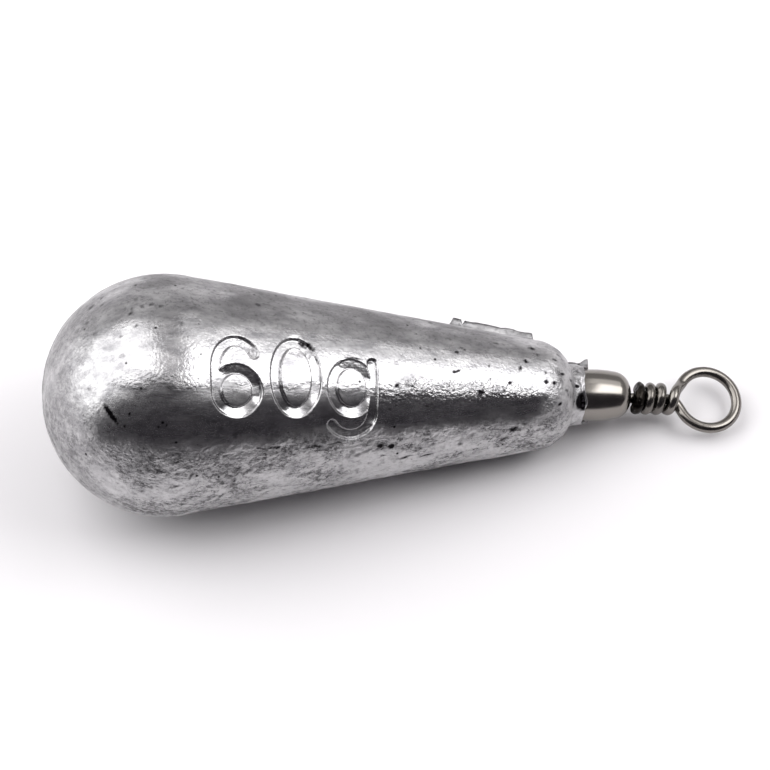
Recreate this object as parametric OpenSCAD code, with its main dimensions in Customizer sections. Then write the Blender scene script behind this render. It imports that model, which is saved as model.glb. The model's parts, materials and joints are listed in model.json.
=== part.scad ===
// A pear-shaped fishing sinker, cast in lead around one half of a barrel swivel.
// The weight lies on its side: the straight side of its cone rests on the floor.

/* [Lead weight] */
// Diameter of the round butt
bulb_d = 17.6; // [14:0.1:20]
// Length from the middle of the butt to the shoulder
cone_l = 27.9; // [22:0.1:40]
// Diameter where the cone meets the shoulder
cone_end_d = 8.05; // [7.4:0.05:9]
// Radius of the rounded shoulder
shoulder_r = 3.1; // [2.2:0.1:3.3]
// Radius of the hollow between the shoulder and the collar
neck_r = 0.4; // [0.2:0.05:0.6]
// Length of the collar that grips the barrel
collar_l = 1.4; // [1:0.1:2]
// Thickness of the lead skin of the collar
collar_wall = 0.2; // [0.12:0.02:0.4]
// Rise of the collar's flared lip
lip_rise = 0.1; // [0.04:0.02:0.2]

/* [Mould flash] */
// Turn of the mould's halves about the long axis, from upright
mould_turn = 17; // [0:1:40]
// Height of the flash fin at its end by the butt
fin_h = 0.62; // [0.3:0.02:1]
// Height of the flash fin at its end by the shoulder
fin_end_h = 0.55; // [0.2:0.05:1]
// Length of the flash fin
fin_l = 5.15; // [3:0.05:8]
// Thickness of the flash
fin_t = 0.35; // [0.2:0.05:0.6]
// Distance from the fin's end to the start of the shoulder
fin_back = 0.25; // [0.1:0.05:2]
// Gap between the fin and the stub before it
stub_gap = 0.2; // [0.1:0.05:0.6]
// Length of the stub
stub_l = 0.75; // [0.4:0.05:1.5]
// Height of the stub
stub_h = 0.78; // [0.3:0.02:1.2]
// Height of the broken spike of flash on the collar
spike_h = 0.5; // [0.2:0.05:0.8]

/* [Swivel barrel] */
// Outside diameter of the barrel at its middle
barrel_d = 3.86; // [3.2:0.02:4.6]
// Overall length of the barrel
barrel_l = 6.8; // [6.2:0.1:8]
// Length of the barrel that stands out of the collar
barrel_out = 3.2; // [2.6:0.1:4]
// Wall of the barrel
barrel_wall = 0.45; // [0.3:0.05:0.6]
// Radius of the barrel's bulging side
barrel_side_r = 10.5; // [8:0.5:20]
// Radius of the barrel's rolled ends
barrel_end_r = 1; // [0.8:0.05:1.2]

/* [Wire eyes] */
// Diameter of the wire
wire_d = 0.78; // [0.6:0.02:0.9]
// Inside diameter of the ring
ring_hole_d = 3.7; // [3:0.1:5]
// Whole turns of wire wrapped round the shank
wraps = 3; // [2:1:4]
// Gap between one wrap and the next
wrap_gap = 0.04; // [0.02:0.01:0.1]
// Running gap round the shank in the barrel's mouth
mouth_gap = 0.08; // [0.04:0.01:0.1]
// Gap between the barrel and the nearest wrap
barrel_gap = 0.06; // [0.04:0.01:0.15]
// Diameter of the head on the end of the wire
head_d = 1.8; // [1.5:0.05:2]
// Length of the head
head_l = 1; // [0.7:0.05:1.4]
// End play of the head behind the barrel's mouth
end_play = 0.12; // [0.05:0.01:0.3]
// Roll of the free ring at rest, its near edge lower
ring_roll = 4; // [-20:1:20]

/* [Hidden] */
// Segments of a full turn
turn_steps = 96;
// Segments of each arc in an outline
arc_steps = 16;
// Sides of the swept wire
wire_sides = 12;
// Overrun of the cuts
cut = 0.5;

// The cone is tangent to the butt, and its side rests on the floor
bulb_r = bulb_d / 2;
cone_end_r = cone_end_d / 2;
cone_reach = norm([cone_l, cone_end_r]);
cone_angle = asin(bulb_r / cone_reach) - atan2(cone_end_r, cone_l);

// The shoulder is tangent to the cone, and the neck's hollow to both
shoulder_x = cone_l - shoulder_r * sin(cone_angle);
shoulder_y = cone_end_r - shoulder_r * cos(cone_angle);
collar_r = barrel_d / 2 + collar_wall;
shoulder_end = acos((collar_r + neck_r - shoulder_y) / (shoulder_r + neck_r));
neck_x = shoulder_x + (shoulder_r + neck_r) * sin(shoulder_end);
neck_y = collar_r + neck_r;
lead_end = neck_x + collar_l;
lip_r = collar_r + lip_rise;

// The barrel's middle stands near the collar's lip
barrel_x = lead_end + barrel_out - barrel_l / 2;
barrel_end = barrel_l / 2;
mouth_r = wire_d / 2 + mouth_gap;

// The wraps touch almost, and the ring follows the last crossing
wire_r = wire_d / 2;
wrap_pitch = wire_d + wrap_gap;
wrap_r = wire_d + wrap_gap;
wrap_start = barrel_end + barrel_gap + wire_r;
// The wire starts across the shank's front, and is cut off past the front again
cross_turn = 90;
cut_turn = 30;
wrap_end_turn = 360 * wraps + cross_turn + cut_turn;
cross_x = wrap_start + wrap_pitch * (wrap_end_turn - cross_turn) / 360;
ring_r = ring_hole_d / 2 + wire_r;

// How the wire bends, in shares of its own diameter
throat_share = 0.77;
shank_back_share = 0.6;
leg_pull_share = 1.03;
cross_pull_share = 0.9;
wrap_pull_share = 1.15;
ring_skew_share = 0.5;
// Where the ring's arc starts and ends, from the far side of the ring
ring_from = 205;
ring_to = 505;
// Where the crossing has joined the wraps
wrap_from_turn = 120;
ring_x = cross_x + throat_share * wire_d + ring_r;
shank_end = cross_x - shank_back_share * wire_d;

// The free ring's far edge sets the length of the part as it lies
ring_reach = ring_r * norm([cos(cone_angle), sin(cone_angle) * sin(ring_roll)]) + wire_r;
far_x = (barrel_x + ring_x) * cos(cone_angle) + ring_reach;
middle_x = (far_x - bulb_r) / 2;

// Points of an arc about (x, y), as [radius, length along the axis]
function arc(x, y, r, from, to, steps) = [
    for (i = [0:steps])
        let (a = from + (to - from) * i / steps)
        [y + r * sin(a), x + r * cos(a)]
];

// The barrel's side and rolled end, for the outside or for the cavity within
function barrel_half(side_r, end_r, half_d, half_l) =
    let (
        end_x = half_l - end_r,
        side_y = half_d - side_r,
        end_y = side_y + sqrt(pow(side_r - end_r, 2) - pow(end_x, 2)),
        meet = acos(end_x / (side_r - end_r))
    )
    concat(
        arc(0, side_y, side_r, 90, meet, arc_steps),
        arc(end_x, end_y, end_r, meet, 0, arc_steps)
    );

// A point of a cubic curve that leaves a along da and reaches b along db
function bend(a, da, b, db, t) =
    pow(1 - t, 3) * a
    + 3 * pow(1 - t, 2) * t * (a + da)
    + 3 * (1 - t) * t * t * (b - db)
    + pow(t, 3) * b;

function unit(v) = v / norm(v);

// The ring of the eye, slightly sprung so that its ends pass each other
function ring_point(a) = [
    ring_x + ring_r * cos(a),
    ring_r * sin(a),
    ring_skew_share * wire_d * ((a - ring_from) / (ring_to - ring_from) - 1 / 2)
];
function ring_way(a) = unit(ring_point(a + 1) - ring_point(a - 1));

// The wraps wind back along the shank towards the barrel
function wrap_point(a) = [
    wrap_start + wrap_pitch * (wrap_end_turn - a) / 360,
    wrap_r * cos(a),
    wrap_r * sin(a)
];
function wrap_way(a) = unit(wrap_point(a + 1) - wrap_point(a - 1));

// The whole bent wire: out of the shank, round the ring, across and round the shank
function eye_path(ring_steps, bend_steps, wrap_steps) = concat(
    [[shank_end - wire_d / 4, 0, 0]],
    [for (i = [0:bend_steps - 1]) bend(
        [shank_end, 0, 0],
        [leg_pull_share * wire_d, 0, 0],
        ring_point(ring_from),
        leg_pull_share * wire_d * ring_way(ring_from),
        i / bend_steps
    )],
    [for (i = [0:ring_steps - 1]) ring_point(ring_from + (ring_to - ring_from) * i / ring_steps)],
    [for (i = [0:bend_steps - 1]) bend(
        ring_point(ring_to),
        cross_pull_share * wire_d * ring_way(ring_to),
        wrap_point(wrap_from_turn),
        wrap_pull_share * wire_d * wrap_way(wrap_from_turn),
        i / bend_steps
    )],
    [for (i = [0:wrap_steps]) wrap_point(
        wrap_from_turn + (wrap_end_turn - wrap_from_turn) * i / wrap_steps
    )]
);

// Direction of the path at each point
function way(p, i) =
    let (last = len(p) - 1)
    unit(p[min(i + 1, last)] - p[max(i - 1, 0)]);

// A normal carried along the path without twist
function carried(p) = [
    for (i = 0, n = [0, 0, 1]; i < len(p); i = i + 1, n = i < len(p) ? flat(n, way(p, i)) : n) n
];
function flat(n, d) = unit(n - (n * d) * d);

// A tube of the given radius along the path, closed at both ends
module tube(p, r, sides) {
    normals = carried(p);
    count = len(p);
    points = [
        for (i = [0:count - 1])
            let (
                d = way(p, i),
                n = flat(normals[i], d),
                b = cross(d, n)
            )
            for (k = [0:sides - 1])
                p[i] + r * (cos(360 * k / sides) * n + sin(360 * k / sides) * b)
    ];
    walls = [
        for (i = [0:count - 2], k = [0:sides - 1])
            let (
                a = i * sides + k,
                b = i * sides + (k + 1) % sides
            )
            each [[a, b + sides, b], [a, a + sides, b + sides]]
    ];
    first_end = [for (k = [1:sides - 2]) [0, k, k + 1]];
    other = (count - 1) * sides;
    last_end = [for (k = [1:sides - 2]) [other, other + k + 1, other + k]];
    polyhedron(points, concat(walls, first_end, last_end), convexity = 10);
}

// Lays the long axis down until the cone's side rests on the floor
module laid() {
    translate([-middle_x, 0, bulb_r])
        rotate([0, cone_angle, 0])
            children();
}

// Turns an outline of [radius, length] about the long axis
module turned() {
    rotate([0, 90, 0])
        rotate_extrude($fn = turn_steps)
            children();
}

module barrel_solid() {
    half = barrel_half(barrel_side_r, barrel_end_r, barrel_d / 2, barrel_end);
    far = [for (i = [len(half) - 1:-1:1]) [half[i][0], -half[i][1]]];
    turned() polygon(concat([[0, -barrel_end]], far, half, [[0, barrel_end]]));
}

module barrel_cavity() {
    half = barrel_half(
        barrel_side_r - barrel_wall,
        barrel_end_r - barrel_wall,
        barrel_d / 2 - barrel_wall,
        barrel_end - barrel_wall
    );
    inner_end = barrel_end - barrel_wall;
    far = [for (i = [len(half) - 1:-1:1]) [half[i][0], -half[i][1]]];
    turned() polygon(concat([[0, -inner_end]], far, half, [[0, inner_end]]));
}

// The bent part of a wire eye beyond the barrel, for the wire or for its bed in the lead
module bent_wire(ring_steps, bend_steps, wrap_steps, sides) {
    tube(eye_path(ring_steps, bend_steps, wrap_steps), wire_r * 0.99, sides);
}

module shank() {
    head_x = barrel_end - barrel_wall - end_play;
    translate([head_x, 0, 0])
        rotate([0, 90, 0])
            cylinder(h = shank_end - head_x, r = wire_r, $fn = turn_steps);
}

// The upset head that keeps the shank in the barrel
module head() {
    head_x = barrel_end - barrel_wall - end_play;
    dome = [
        for (i = [0:arc_steps])
            let (a = 90 * i / arc_steps)
            [head_d / 2 * sin(a), head_x - head_l + head_l / 2 * (1 - cos(a))]
    ];
    turned() polygon(concat(dome, [[head_d / 2, head_x - head_l / 4], [wire_d, head_x], [0, head_x]]));
}

module wire_eye(ring_steps, bend_steps, wrap_steps, sides) {
    head();
    shank();
    bent_wire(ring_steps, bend_steps, wrap_steps, sides);
}

// The cast-in eye points back into the lead
module anchor_bent() {
    translate([barrel_x, 0, 0])
        rotate([0, 0, 180])
            children();
}

// A plate of flash in the mould's parting plane, from an outline of [length, radius]
module parted() {
    rotate([mould_turn - 90, 0, 0])
        rotate([90, 0, 0])
            translate([0, 0, -fin_t / 2])
                linear_extrude(height = fin_t)
                    children();
}

// Radius of the cone at a length from the middle of the butt
function cone_r(x) = cone_end_r + (cone_l - x) * tan(cone_angle);

// Outline of a fin that follows the cone
module fin_outline(from, to, from_h, to_h) {
    polygon([
        [from, 0],
        [from, cone_r(from) + from_h],
        [to, cone_r(to) + to_h],
        [to, 0]
    ]);
}

// Flash that squeezed out between the mould's halves along the cone
module flash() {
    fin_end = cone_l - fin_back;
    fin_start = fin_end - fin_l;
    stub_end = fin_start - stub_gap;
    parted() fin_outline(fin_start, fin_end, fin_h, fin_end_h);
    parted() fin_outline(stub_end - stub_l, stub_end, stub_h, stub_h);
}

// The spike where the flash on the collar's lip broke off
module collar_spike() {
    spike_x = lead_end - collar_l / 2;
    root_r = collar_r - collar_wall / 2;
    parted()
        polygon([
            [spike_x, root_r],
            [spike_x, collar_r + spike_h / 3],
            [lead_end, collar_r + spike_h],
            [lead_end, root_r]
        ]);
}

module lead_body() {
    outline = concat(
        [[0, -bulb_r]],
        [
            for (i = [1:2 * arc_steps])
                let (a = -90 + (90 + cone_angle) * i / (2 * arc_steps))
                [bulb_r * cos(a), bulb_r * sin(a)]
        ],
        arc(shoulder_x, shoulder_y, shoulder_r, 90 - cone_angle, 90 - shoulder_end, arc_steps),
        [
            for (i = [1:arc_steps / 2])
                let (a = shoulder_end * (1 - 2 * i / arc_steps))
                [neck_y - neck_r * cos(a), neck_x - neck_r * sin(a)]
        ],
        [
            [lip_r, lead_end],
            [0, lead_end]
        ]
    );
    color("#8e8f92")
        laid()
            difference() {
                union() {
                    turned() polygon(outline);
                    flash();
                    collar_spike();
                }
                translate([barrel_x, 0, 0]) barrel_solid();
                anchor_bent() {
                    shank();
                    bent_wire(36, 8, 60, wire_sides);
                }
            }
}

module swivel_barrel() {
    color("#a39b8d")
        laid()
            translate([barrel_x, 0, 0])
                difference() {
                    barrel_solid();
                    barrel_cavity();
                    translate([-barrel_end - cut, 0, 0])
                        rotate([0, 90, 0])
                            cylinder(h = barrel_l + 2 * cut, r = mouth_r, $fn = turn_steps);
                }
}

module anchor_eye() {
    color("#8b857a")
        laid()
            anchor_bent()
                wire_eye(36, 8, 60, wire_sides);
}

module line_eye() {
    color("#8b857a")
        laid()
            translate([barrel_x, 0, 0])
                rotate([ring_roll, 0, 0])
                    wire_eye(48, 10, 90, wire_sides);
}

lead_body();
swivel_barrel();
anchor_eye();
line_eye();
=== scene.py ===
import json

import bpy
import numpy as np
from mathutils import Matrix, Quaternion, Vector


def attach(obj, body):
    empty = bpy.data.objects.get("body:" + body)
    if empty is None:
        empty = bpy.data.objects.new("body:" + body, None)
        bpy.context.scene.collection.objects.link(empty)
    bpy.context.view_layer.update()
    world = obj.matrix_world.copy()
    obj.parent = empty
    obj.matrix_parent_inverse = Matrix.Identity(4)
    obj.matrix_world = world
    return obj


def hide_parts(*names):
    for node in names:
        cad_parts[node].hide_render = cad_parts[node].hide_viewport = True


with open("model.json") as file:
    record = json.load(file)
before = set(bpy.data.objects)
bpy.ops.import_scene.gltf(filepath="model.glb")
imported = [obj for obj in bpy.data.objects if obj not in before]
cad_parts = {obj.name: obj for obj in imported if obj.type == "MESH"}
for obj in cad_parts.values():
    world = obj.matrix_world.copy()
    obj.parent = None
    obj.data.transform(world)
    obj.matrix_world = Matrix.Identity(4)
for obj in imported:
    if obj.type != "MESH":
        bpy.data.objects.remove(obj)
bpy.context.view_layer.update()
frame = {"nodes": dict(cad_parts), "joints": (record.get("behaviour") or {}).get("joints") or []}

# The lead body: lead poured round the barrel in a two-part steel mould, and left as it came out.
# The weight mark stood up in the mould, so it is sunk in the lead. Thin flash squeezed out where
# the halves met, and a ragged collar of lead ran up round the barrel.
MM = 0.001
BUTT_R = 8.8
CONE_L = 27.9
CONE_END_R = 4.025
SHOULDER_R = 3.1
NECK_R = 0.4
COLLAR_R = 2.13
COLLAR_L = 1.4
COLLAR_FLARE = 0.15
COLLAR_LIP_S = 31.9
COLLAR_LIP_RISE = 0.05
COLLAR_DIP = 0.78
COLLAR_DIP_AT = np.radians(-11.6)
BARREL_R = 1.93

# Lengths are in mm: s runs along the axis from the middle of the round butt, and r out from the
# axis. phi is the angle round it, 0 at the middle of the marked half and + to the far side. That
# middle lies MOULD_TURN to the near side of the top.
MOULD_TURN = np.radians(17)
MARK_FROM_S, MARK_TO_S = 1.72, 15.42
MARK_FROM_DEGREES, MARK_TO_DEGREES = -43, 21.5

# The sinker lies with the straight side of its cone on the table. The swivel turns on its
# long axis, so the joint gives the line that everything here is set out from.
joint = frame["joints"][0]
axis = np.array(joint["axis"])
mouth = np.array(joint["pos_m"])
over = np.array([-axis[2], 0.0, axis[0]])
across = np.array([0.0, 1.0, 0.0])
cone_angle = np.arcsin(-axis[2])
butt_middle = mouth + axis * (BUTT_R * MM - mouth[2]) / axis[2]
mouth_s = np.linalg.norm(mouth - butt_middle) / MM


def place(points):
    """World metres from mm along the axis from the butt's middle, then across it, then over it."""
    return butt_middle + MM * (points @ np.array([axis, across, over]))


def smooth(low, high, value):
    """0 below low, 1 above high, and 3t^2 - 2t^3 between them."""
    t = np.clip((value - low) / (high - low), 0, 1)
    return t * t * (3 - 2 * t)


def lattice_noise(points, size, seed):
    """Random values, -1 to 1, on a lattice of that spacing, blended with 3t^2 - 2t^3 between."""
    count = 24
    table = np.random.default_rng(seed).uniform(-1, 1, (count, count, count))
    q = points / np.array(size) + 1000.0
    cell = np.floor(q).astype(int)
    t = q - cell
    t = t * t * (3 - 2 * t)
    total = np.zeros(points.shape[:-1])
    for corner in np.ndindex(2, 2, 2):
        k = (cell + corner) % count
        weight = np.prod(np.where(corner, t, 1 - t), axis=-1)
        total += weight * table[k[..., 0], k[..., 1], k[..., 2]]
    return total


def spaced(*stretches):
    """One row of values: each stretch is (from, to, step), and the last value ends it."""
    parts = [
        np.linspace(low, high, max(2, int(round(abs(high - low) / step))), endpoint=False)
        for low, high, step in stretches
    ]
    return np.concatenate(parts + [[stretches[-1][1]]])


def arc(middle_s, middle_r, radius, lean, side=1):
    """Rows of s, r and the outward normal along an arc; lean is the normal's angle from square.

    side is 1 where the arc bulges out, and -1 where it is hollow.
    """
    normal_s, normal_r = np.sin(lean), np.cos(lean)
    out = side * radius
    return middle_s + out * normal_s, middle_r + out * normal_r, normal_s, normal_r


def lead_outline():
    """Rows of s, r and the outward normal, and the collar's first s.

    They follow the butt's arc, the straight cone, the shoulder's arc and the neck's hollow one,
    and then the collar, whose radius falls with the square of the way to its lip.
    """
    shoulder_s = CONE_L - SHOULDER_R * np.sin(cone_angle)
    shoulder_r = CONE_END_R - SHOULDER_R * np.cos(cone_angle)
    root_r = COLLAR_R + COLLAR_FLARE
    shoulder_end = np.arccos((root_r + NECK_R - shoulder_r) / (SHOULDER_R + NECK_R))
    neck_s = shoulder_s + (SHOULDER_R + NECK_R) * np.sin(shoulder_end)
    butt = arc(0, 0, BUTT_R, spaced(
        (-np.pi / 2 + 0.02, -0.95, 0.03), (-0.95, -0.2, 0.019), (-0.2, cone_angle, 0.015),
    ))
    s = np.concatenate([
        [BUTT_R * np.sin(cone_angle) + 0.08],
        spaced((MARK_FROM_S, MARK_TO_S, 0.165), (MARK_TO_S, CONE_L - 0.15, 0.145)),
    ])
    r = CONE_END_R + (CONE_L - s) * np.tan(cone_angle)
    cone = (s, r, np.full_like(s, np.sin(cone_angle)), np.full_like(s, np.cos(cone_angle)))
    shoulder = arc(shoulder_s, shoulder_r, SHOULDER_R, np.linspace(cone_angle, shoulder_end, 24))
    neck = arc(neck_s, root_r + NECK_R, NECK_R, np.linspace(shoulder_end, 0, 7)[1:], side=-1)
    s = np.linspace(neck_s, COLLAR_LIP_S, 19)[1:]
    t = (s - neck_s) / (COLLAR_LIP_S - neck_s)
    r = COLLAR_R + COLLAR_FLARE * (1 - t) ** 2 + COLLAR_LIP_RISE * t ** 4
    collar = (s, r, np.zeros_like(s), np.ones_like(s))
    return np.concatenate([butt, cone, shoulder, neck, collar], axis=1), neck_s


# The rows of the grid, and its columns in radians, closest at the far side's flash.
lead_rows, neck_s = lead_outline()
lead_columns = np.radians(spaced(
    (-180, -97, 4), (-97, -94, 1.5), (-94, -86, 1), (-86, MARK_FROM_DEGREES, 1.1),
    (MARK_FROM_DEGREES, MARK_TO_DEGREES, 1.17), (MARK_TO_DEGREES, 84, 1.7), (84, 87, 1),
    (87, 93, 0.5), (93, 96, 1), (96, 180, 4),
)[:-1])


def round_the_axis(s, r, phi):
    """Points in mm along the axis, across it and over it, from s, r and phi."""
    turned = phi - MOULD_TURN
    return np.stack([s, r * np.sin(turned), r * np.cos(turned)], axis=-1)


def oval(middle, half, start, stop):
    """Points of an ellipse from one angle to another in degrees, each with its outward normal."""
    t = np.radians(np.linspace(start, stop, 400))
    outward = np.stack([half[1] * np.cos(t), half[0] * np.sin(t)], axis=1)
    outward /= np.linalg.norm(outward, axis=1)[:, None]
    points = np.array(middle) + np.stack([half[0] * np.cos(t), half[1] * np.sin(t)], axis=1)
    return np.concatenate([points, outward], axis=1)


def line(*corners):
    """Points along straight lines from corner to corner, with 0 for the outward normal."""
    corners = np.array(corners, dtype=float)
    t = np.linspace(0, len(corners) - 1, 120 * (len(corners) - 1) + 1)
    x, y = [np.interp(t, np.arange(len(corners)), column) for column in corners.T]
    return np.stack([x, y, 0 * x, 0 * x], axis=1)


def nearest(points, stroke):
    """The distance to a stroke, how much of it is outward there, and how far the normal faces.

    The last is |n_y| + 0.3 n_x, so 1 where the stroke runs along the cone and 0.3 or less where
    it runs round it.
    """
    gap = np.full(len(points), 99.0)
    side = np.zeros(len(points))
    facing = np.zeros(len(points))
    row = np.arange(len(points))
    for part in np.array_split(stroke, max(1, len(stroke) // 30)):
        away = points[:, None] - part[None, :, :2]
        far = np.linalg.norm(away, axis=2)
        k = far.argmin(axis=1)
        closer = far[row, k] < gap
        gap = np.where(closer, far[row, k], gap)
        side = np.where(closer, (away[row, k] * part[k, 2:]).sum(axis=1), side)
        facing = np.where(closer, np.abs(part[k, 3]) + 0.3 * part[k, 2], facing)
    return gap, side, facing


# The weight mark is a plain number and its unit, in round strokes: s along the cone, and v = r phi
# round it. Where a round runs along the cone, its floor slopes up to the outer side.
STROKE_HALF = 0.41
INNER_WALL = 0.07
OUTER_WALL = 0.13
MARK_DEPTH = 0.32
FLAT_FLOOR = 0.8
MARK_SLOPE = 0.88
SIX = (4.08, -1.3)
NOUGHT = (8.5, -0.16)
GRAM = (12.67, -0.81)
STEM = 14.27
STEM_FOOT = -2.5
mark = np.concatenate([
    oval((SIX[0] + 0.05, 0.3), (1.55, 2.1), 32, 180),
    line((SIX[0] - 1.5, 0.3), (SIX[0] - 1.5, SIX[1])),
    oval(SIX, (1.5, 1.58), 0, 360),
    oval(NOUGHT, (1.55, 2.6), 0, 360),
    oval(GRAM, (1.46, 1.79), 0, 360),
    line((STEM, 1.08), (STEM, STEM_FOOT)),
    oval((STEM - 1.67, STEM_FOOT), (1.67, 1.8), 0, -144),
])


def mark_depth(s, v):
    """Depth in mm of the mark: short walls along a stroke, and a floor that may slope between.

    The floor slopes where the stroke runs along the cone, and less at the mark's top and foot.
    """
    depth = np.zeros_like(s)
    # Only points near the mark are looked at.
    near = (s > 1.6) & (s < 15.5) & (np.abs(v + 0.9) < 4.4)
    gap, side, facing = nearest(np.stack([s[near], v[near]], axis=1), mark)
    slope = MARK_SLOPE * smooth(0.5, 0.85, facing) * smooth(-3.9, -3.4, v[near])
    slope *= 1 - 0.8 * smooth(1.3, 2.0, v[near])
    floor = FLAT_FLOOR + 0.2 * slope - slope * (side + STROKE_HALF) / (2 * STROKE_HALF)
    wall = np.where(side < 0, INNER_WALL, OUTER_WALL)
    depth[near] = MARK_DEPTH * floor * (1 - smooth(STROKE_HALF - wall, STROKE_HALF, gap))
    return depth


# Where the hot lead met lead that had already set, it left a broken crease below the mark: s and v
# of its corners. Gas left pits, and handling left a scratch: s and degrees round, half length and
# half width, its turn in degrees, and how dark it is.
crease = line(
    (-2.7, -8.7), (-1.95, -9.2), (-0.62, -9.25), (0.77, -8.8), (1.2, -7.2),
    (3.2, -6.3), (5.7, -5.55), (9.0, -5.4), (12.0, -4.95),
)
PITS = [
    (-4.75, -22.0, 1.0, 0.17, -55, 1.1), (-0.74, -7.8, 0.45, 0.42, 0, 0.25),
    (-2.05, -48.9, 0.28, 0.22, 0, 0.5), (-1.26, -49.4, 0.34, 0.2, 0, 0.5),
    (0.05, -51.0, 0.25, 0.18, 0, 0.6), (-3.5, -21.2, 0.15, 0.15, 0, 0.8),
    (-0.99, -25.7, 0.12, 0.12, 0, 0.6), (4.3, -60.8, 0.2, 0.6, 0, 0.4),
    (16.08, -5.3, 0.22, 0.16, 0, 1.0), (22.49, -9.2, 0.31, 0.22, 0, 1.0),
    (24.74, -0.6, 0.16, 0.16, 0, 1.0), (27.62, 2.3, 0.21, 0.19, 0, 1.0),
    (18.35, -19.5, 0.19, 0.16, 0, 0.5), (15.54, -20.8, 0.16, 0.15, 0, 0.5),
    (25.17, -45.0, 0.45, 0.3, 30, 0.5), (24.59, -55.4, 0.5, 0.16, 30, 0.6),
    (25.93, -40.3, 0.35, 0.15, 0, 0.5), (17.13, -60.9, 0.6, 0.17, 15, 0.6),
    (15.9, -48.5, 0.28, 0.22, 0, 1.0), (15.08, -46.9, 0.25, 0.22, 0, 1.0),
    (18.95, -48.5, 0.7, 0.08, 0, 0.5), (21.23, -54.7, 0.2, 0.3, 0, 0.5),
    (18.73, -62.6, 0.8, 0.1, 5, 0.6), (-4.83, 59.5, 0.2, 0.16, 0, 0.6),
    (-5.58, 56.2, 0.31, 0.28, 0, 0.5), (-4.95, 50.5, 0.18, 0.18, 0, 0.5),
    (-2.66, 42.6, 0.21, 0.18, 0, 0.5), (-1.64, 36.8, 0.22, 0.25, 0, 0.4),
    (-0.99, 35.1, 0.22, 0.15, 0, 0.4), (-3.0, 36.3, 0.21, 0.21, 0, 0.4),
    (-3.22, 32.9, 0.3, 0.14, 40, 0.5), (-2.82, 25.3, 0.16, 0.16, 0, 0.6),
    (-3.98, 20.2, 0.2, 0.15, 30, 0.7), (26.88, 42.5, 0.33, 0.25, 0, 0.7),
    (24.16, 42.1, 0.25, 0.2, 0, 0.4), (21.43, 28.9, 0.3, 0.1, -20, 0.7),
    (20.86, 24.8, 0.19, 0.15, 0, 0.8), (25.68, 14.5, 0.12, 0.3, 0, 0.8),
    (26.16, 23.2, 0.22, 0.18, -30, 0.7), (20.5, 6.8, 0.18, 0.16, 0, 1.0),
    (20.82, 7.9, 0.18, 0.16, 0, 1.0), (23.3, 2.4, 0.12, 0.11, 0, 0.8),
    (30.75, -24.0, 0.55, 0.75, 0, 1.3), (30.33, 4.5, 0.19, 0.18, 0, 1.0),
    (31.1, 3.0, 0.25, 0.18, 0, 1.0), (28.2, 1.3, 0.2, 0.17, 0, 0.7),
    (29.0, 13.3, 0.25, 0.18, 0, 0.6), (28.7, -21.4, 0.24, 0.17, 20, 0.6),
    (28.5, 30, 0.28, 0.16, 0, 0.5), (28.9, 41, 0.24, 0.17, 0, 0.5),
    (27.6, 12, 0.17, 0.14, 0, 0.6), (27.2, 33, 0.18, 0.15, 0, 0.6),
    (29.3, -6, 0.19, 0.14, 0, 0.5),
]
DARK_LEAD_BELOW_THE_UNIT = [
    (13.0, -50.0, 0.3, 0.34, 10, 0.33), (13.4, -52.5, 0.45, 0.25, 20, 0.36),
    (12.7, -53.5, 0.35, 0.3, 0, 0.32), (13.9, -50.5, 0.4, 0.18, 10, 0.34),
]
TORN_BURRS_OVER_THE_MARK = [
    (9.0, 19.9, 0.2, 0.16, 0, 0.5), (9.2, 18.7, 0.26, 0.26, 0, 0.55),
    (9.4, 17.4, 0.14, 0.2, 30, 0.45), (9.6, 18.6, 0.24, 0.2, -25, 0.6),
    (9.78, 17.2, 0.2, 0.26, 0, 0.5), (9.95, 15.4, 0.14, 0.24, 0, 0.45),
    (12.9, 11.9, 0.85, 0.13, 0, 0.6), (14.2, 10.6, 0.27, 0.22, 0, 0.45),
]


def pits_and_crease(s, r, phi, bare):
    """How deep the pits and the crease are at each point, 0 to 1, made uneven by noise.

    A pit is exp(-2 d^4), with d the distance from its middle in its half length and half width.
    The crease fades 0.15 mm from its line, and noise breaks it and makes it wander.
    """
    dark = np.zeros_like(s)
    ds = s + 0.05 * lattice_noise(bare, 0.3, 13)
    dv = 0.05 * lattice_noise(bare, 0.3, 14)
    for s0, degrees, length, width, turn, depth in (
        PITS + DARK_LEAD_BELOW_THE_UNIT + TORN_BURRS_OVER_THE_MARK
    ):
        along_s = ds - s0
        along_v = dv + r * (phi - np.radians(degrees))
        near = (np.abs(along_s) < 2) & (np.abs(along_v) < 2)
        c, n = np.cos(np.radians(turn)), np.sin(np.radians(turn))
        x, y = along_s[near], along_v[near]
        d = np.hypot((c * x + n * y) / length, (c * y - n * x) / width)
        dark[near] = np.maximum(dark[near], depth * np.exp(-2 * d ** 4))
    near = (s > -3.5) & (s < 12.5) & (r * phi < -4) & (r * phi > -10)
    wander = 0.14 * lattice_noise(bare[near], 0.7, 20)
    gap, _, _ = nearest(np.stack([ds[near], (dv + r * phi)[near] + wander], axis=1), crease)
    broken = smooth(-0.3, 0.3, lattice_noise(bare[near], 0.6, 15))
    dark[near] = np.maximum(dark[near], 0.5 * broken * (1 - smooth(0.02, 0.15, gap)))
    return dark * (0.85 + 0.35 * lattice_noise(bare, 0.16, 19))


# The flash, where the mould's halves met: where its fin and stub lie along the axis, their
# heights, and how much the fin falls off towards the collar. A spike stands on the collar.
SEAM_H = 0.04
FIN_FROM_S, FIN_L, FIN_H, FIN_FALL = 22.5, 5.2, 0.6, 0.07
STUB_FROM_S, STUB_TO_S, STUB_H = 21.55, 22.25, 0.66
STUB_FOOT_FROM_S, STUB_FOOT_TO_S, STUB_FOOT_H = 21.4, 22.6, 0.3
SPIKE_FOOT, SPIKE_FOOT_H = (29.9, 30.5), 0.2
SPIKE_TIP, SPIKE_TIP_H = (30.9, 31.85), 0.3


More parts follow.
